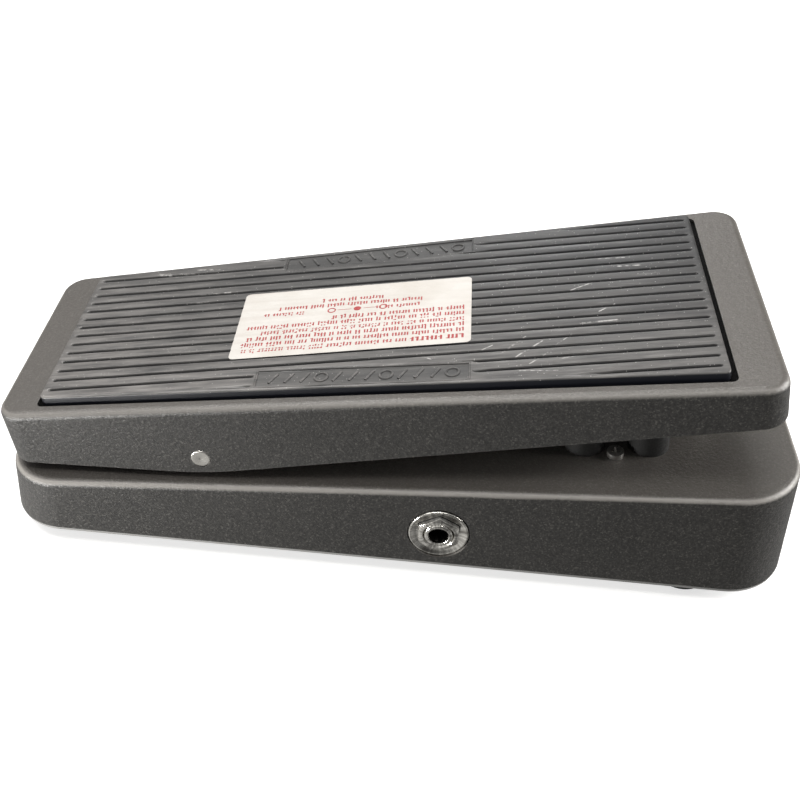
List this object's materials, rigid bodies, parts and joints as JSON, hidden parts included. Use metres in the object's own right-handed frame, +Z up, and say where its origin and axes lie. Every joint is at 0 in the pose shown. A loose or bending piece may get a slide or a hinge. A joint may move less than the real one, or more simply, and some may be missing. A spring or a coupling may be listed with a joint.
{
  "type": "guitar effects pedal",
  "caption": "Rocker-style guitar effects pedal: ribbed treadle rocking on a cast wedge base, with rack-driven potentiometer, toe footswitch, two phone jacks and a power inlet.",
  "frame": {"origin": "on the floor under the middle of the base, at the undersides of the rubber feet", "axes": "+X from the heel end to the toe end, +Y to the player's left, +Z up; treadle at rest heel down"},
  "size_m": [0.257, 0.1057, 0.0886],
  "materials": {
    "powder_coat": "fine textured black powder coat",
    "mat_rubber": "matt ribbed rubber",
    "stop_rubber": "soft black rubber",
    "label_paper": "cream printed label",
    "plate_steel": "bare zinc-plated sheet",
    "nickel": "bright nickel plate",
    "steel": "bright zinc plate",
    "nylon": "natural nylon",
    "black_plastic": "moulded black plastic",
    "switch_blue": "moulded blue plastic",
    "board_green": "solder-masked board",
    "component_mix": "dipped and sleeved components",
    "ferrite": "dark moulded inductor",
    "tinned": "tinned brass",
    "battery_jacket": "printed steel jacket",
    "wire_black": "insulated wire",
    "wire_mixed": "insulated wire"
  },
  "bodies": {
    "base": {"base_housing": "powder_coat", "bottom_plate": "plate_steel", "rubber_feet": "stop_rubber", "toe_stops": "stop_rubber", "heel_stops": "stop_rubber", "foot_screws": "steel", "strap_screws": "steel", "mechanism_screws": "steel", "board_screws": "steel", "pivot_bush_left": "nylon", "pivot_bush_right": "nylon", "rack_guide": "nylon", "pot_bracket": "steel", "pot_body": "steel", "pot_bushing": "tinned", "pot_nut": "nickel", "pot_terminals": "tinned", "switch_body": "switch_blue", "switch_bushing": "nickel", "switch_washer": "nickel", "switch_nuts": "nickel", "switch_lugs": "tinned", "input_jack_body": "black_plastic", "input_jack_bushing": "nickel", "input_jack_nut": "nickel", "input_jack_washer": "nickel", "input_jack_contacts": "tinned", "output_jack_body": "black_plastic", "output_jack_bushing": "nickel", "output_jack_nut": "nickel", "output_jack_washer": "nickel", "output_jack_contacts": "tinned", "inlet_body": "black_plastic", "inlet_nut": "black_plastic", "inlet_pin": "nickel", "circuit_board": "board_green", "inductor": "ferrite", "capacitors": "component_mix", "resistors": "component_mix", "transistors": "black_plastic", "battery": "battery_jacket", "battery_snap": "black_plastic", "battery_strap": "steel", "battery_leads": "wire_mixed", "switch_wires": "wire_mixed", "pot_wires": "wire_mixed", "jack_wires": "wire_black"},
    "treadle": {"treadle_shell": "powder_coat", "tread_mat": "mat_rubber", "notice_sticker": "label_paper", "pivot_rod": "nickel", "clevis_bracket": "steel", "clevis_screws": "steel", "clevis_pin": "steel", "clevis_clip": "steel"},
    "rack": {"rack": "nylon"},
    "pinion": {"pinion_gear": "nylon", "pot_shaft": "steel"},
    "plunger": {"switch_plunger": "nickel"}
  },
  "joints": [
    {"name": "treadle_rock", "type": "hinge", "parent": "base", "child": "treadle", "pos_m": [-0.06144, 0, 0.03994], "axis": [0, 1, 0], "range_deg": [0, 9]},
    {"name": "rack_slide", "type": "slide", "parent": "base", "child": "rack", "axis": [0, 0, -1], "range_m": [0, 0.0109]},
    {"name": "pot_turn", "type": "hinge", "parent": "base", "child": "pinion", "pos_m": [0.01625, 0, 0.0225], "axis": [0, -1, 0], "range_deg": [0, 90]},
    {"name": "switch_press", "type": "slide", "parent": "base", "child": "plunger", "axis": [0.0805, 0, -0.9968], "range_m": [0, 0.003], "stiffness_N_per_m": 1500, "springref_m": -0.002}
  ],
  "couplings": [
    {"joint": "rack_slide", "follows": "treadle_rock", "m_per_rad": 0.069265},
    {"joint": "pot_turn", "follows": "treadle_rock", "ratio": 9.8951}
  ]
}
